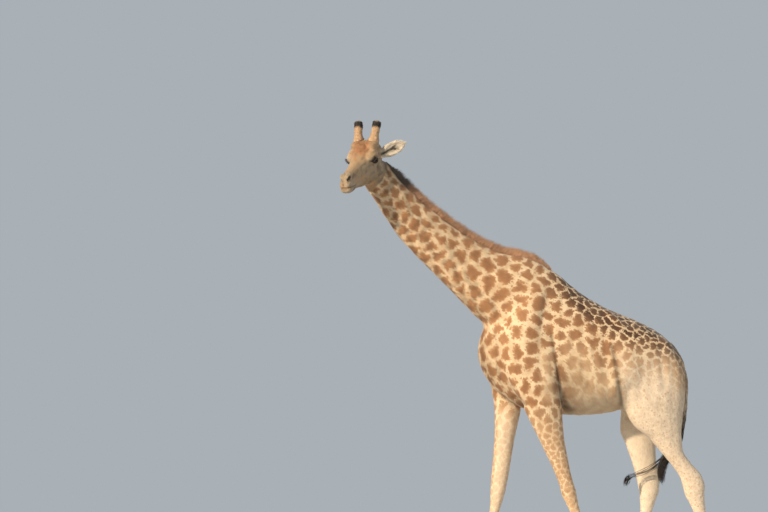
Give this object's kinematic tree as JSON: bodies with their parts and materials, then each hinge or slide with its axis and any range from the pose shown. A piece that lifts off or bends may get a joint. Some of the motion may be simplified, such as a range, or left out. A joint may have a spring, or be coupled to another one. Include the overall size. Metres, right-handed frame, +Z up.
{
  "type": "giraffe",
  "caption": "Life-size still model of an adult southern giraffe in mid-stride, its neck low and forward and its head turned to its left.",
  "frame": {"origin": "middle of the bounding box, on the ground under the hooves", "axes": "+Z up, -X the way the body faces, -Y the animal's left side, which the picture shows"},
  "size_m": [3.2696, 0.7802, 3.9879],
  "materials": {
    "coat": "short flat hair over hide, tan lobed patches on a cream network",
    "lower_leg": "short flat cream hair with faint spots",
    "face": "short hair, orange-brown forehead, grey-beige cheeks, pale lips",
    "ear": "soft pale hair with a dark streak in the hollow",
    "ossicone": "tan hair on the shaft and black hair at the knob",
    "eye": "wet, near-black brown",
    "mane": "short upright rusty hair",
    "tuft": "long black hair in locks",
    "hoof": "dull grey-brown horn"
  },
  "bodies": {
    "root": {"trunk": "coat", "neck": "coat", "head": "face", "jaw": "face", "ear_left": "ear", "ear_right": "ear", "ossicone_left": "ossicone", "ossicone_right": "ossicone", "eye_left": "eye", "eye_right": "eye", "mane": "mane", "tail": "coat", "tail_tuft": "tuft", "foreleg_left": "coat", "foreleg_right": "coat", "hindleg_left": "coat", "hindleg_right": "coat", "foreleg_left_lower": "lower_leg", "foreleg_right_lower": "lower_leg", "hindleg_left_lower": "lower_leg", "hindleg_right_lower": "lower_leg", "foreleg_left_hoof_outer": "hoof", "foreleg_left_hoof_inner": "hoof", "foreleg_right_hoof_outer": "hoof", "foreleg_right_hoof_inner": "hoof", "hindleg_left_hoof_outer": "hoof", "hindleg_left_hoof_inner": "hoof", "hindleg_right_hoof_outer": "hoof", "hindleg_right_hoof_inner": "hoof"}
  },
  "joints": []
}
